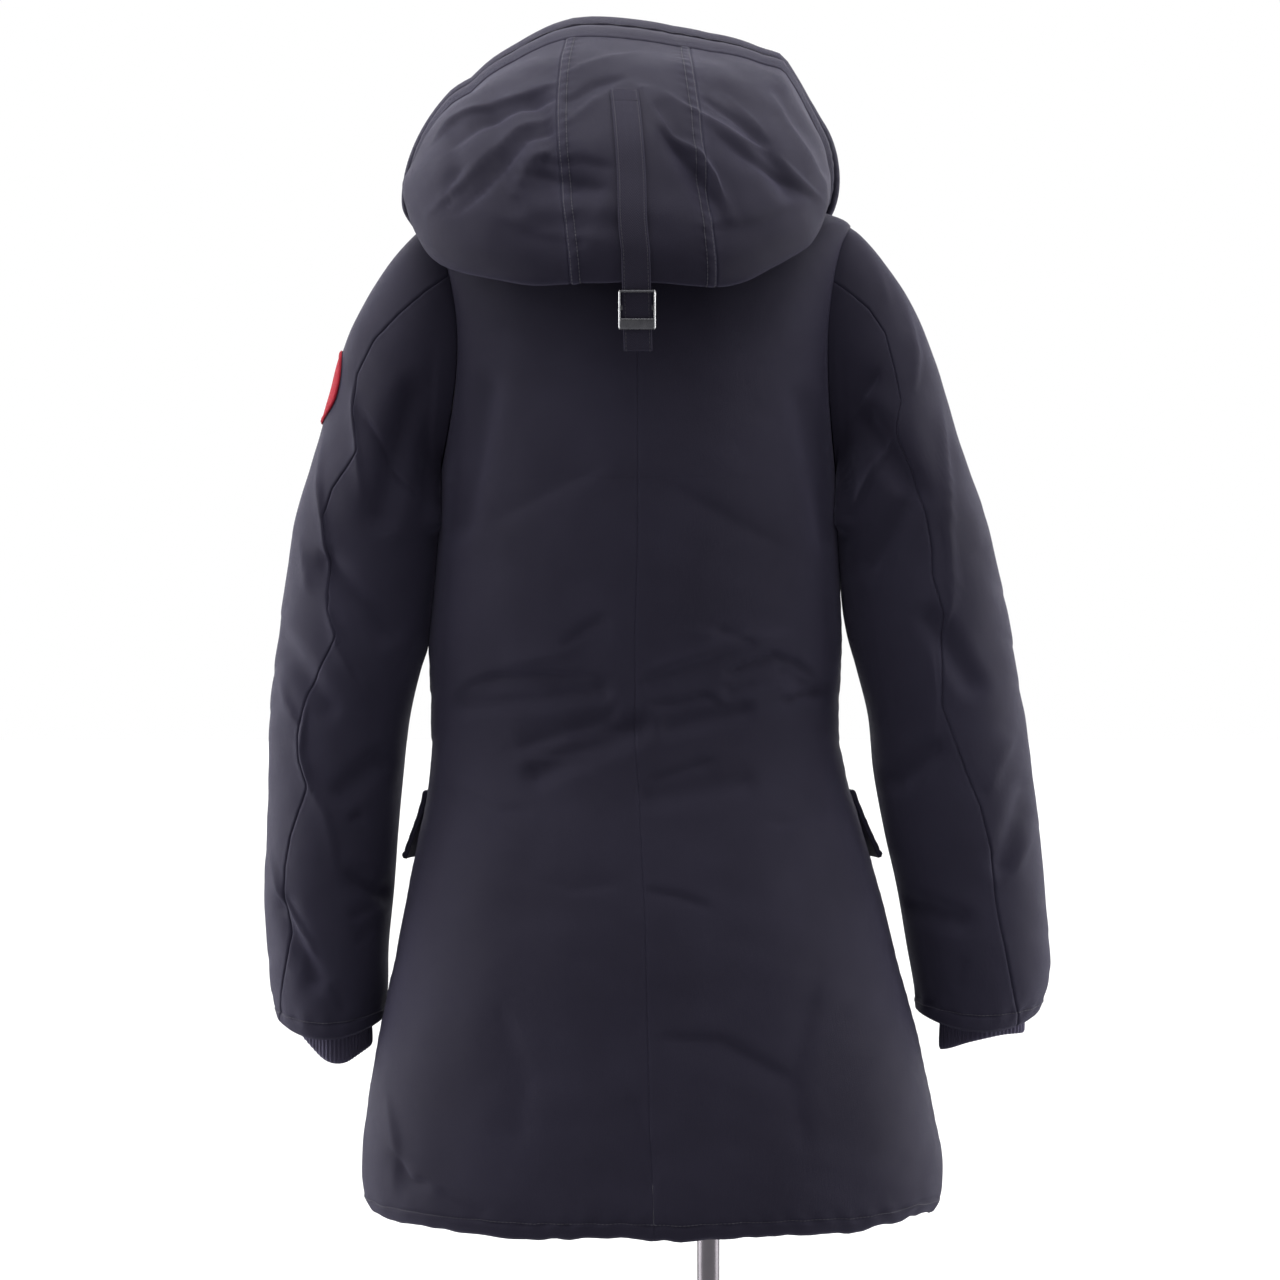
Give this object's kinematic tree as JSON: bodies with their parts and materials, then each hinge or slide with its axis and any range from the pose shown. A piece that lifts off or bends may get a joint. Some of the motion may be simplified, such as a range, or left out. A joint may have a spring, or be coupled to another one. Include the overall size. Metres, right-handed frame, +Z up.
{
  "type": "hooded parka on a dress form stand",
  "caption": "Padded hooded parka with rib cuffs, closed over a limbless dress form on a round steel base.",
  "frame": {"origin": "on the floor under the middle of the whole object", "axes": "+Z is up, the coat's back faces +Y and its front -Y, the coat's own left side is +X"},
  "size_m": [0.6676, 0.33, 1.597],
  "materials": {
    "shell": "matt dark navy shell cloth over down padding",
    "rib": "matt rib knit",
    "webbing": "matt herringbone webbing",
    "patch": "plain red twill",
    "buckle": "dark polished slide",
    "form_cover": "plain stretched jersey",
    "steel": "polished"
  },
  "bodies": {
    "root": {"back_left": "shell", "back_right": "shell", "front_left": "shell", "front_right": "shell", "upper_sleeve_left": "shell", "under_sleeve_left": "shell", "upper_sleeve_right": "shell", "under_sleeve_right": "shell", "sleeve_patch": "patch", "cuff_left": "rib", "cuff_right": "rib", "hood_centre": "shell", "hood_left": "shell", "hood_right": "shell", "hood_brim": "shell", "storm_flap": "shell", "pocket_flap_left": "shell", "pocket_flap_right": "shell", "hood_strap": "webbing", "buckle": "buckle", "form_torso": "form_cover", "neck_cap": "steel", "pole_socket": "steel", "pole": "steel", "base": "steel"}
  },
  "joints": []
}
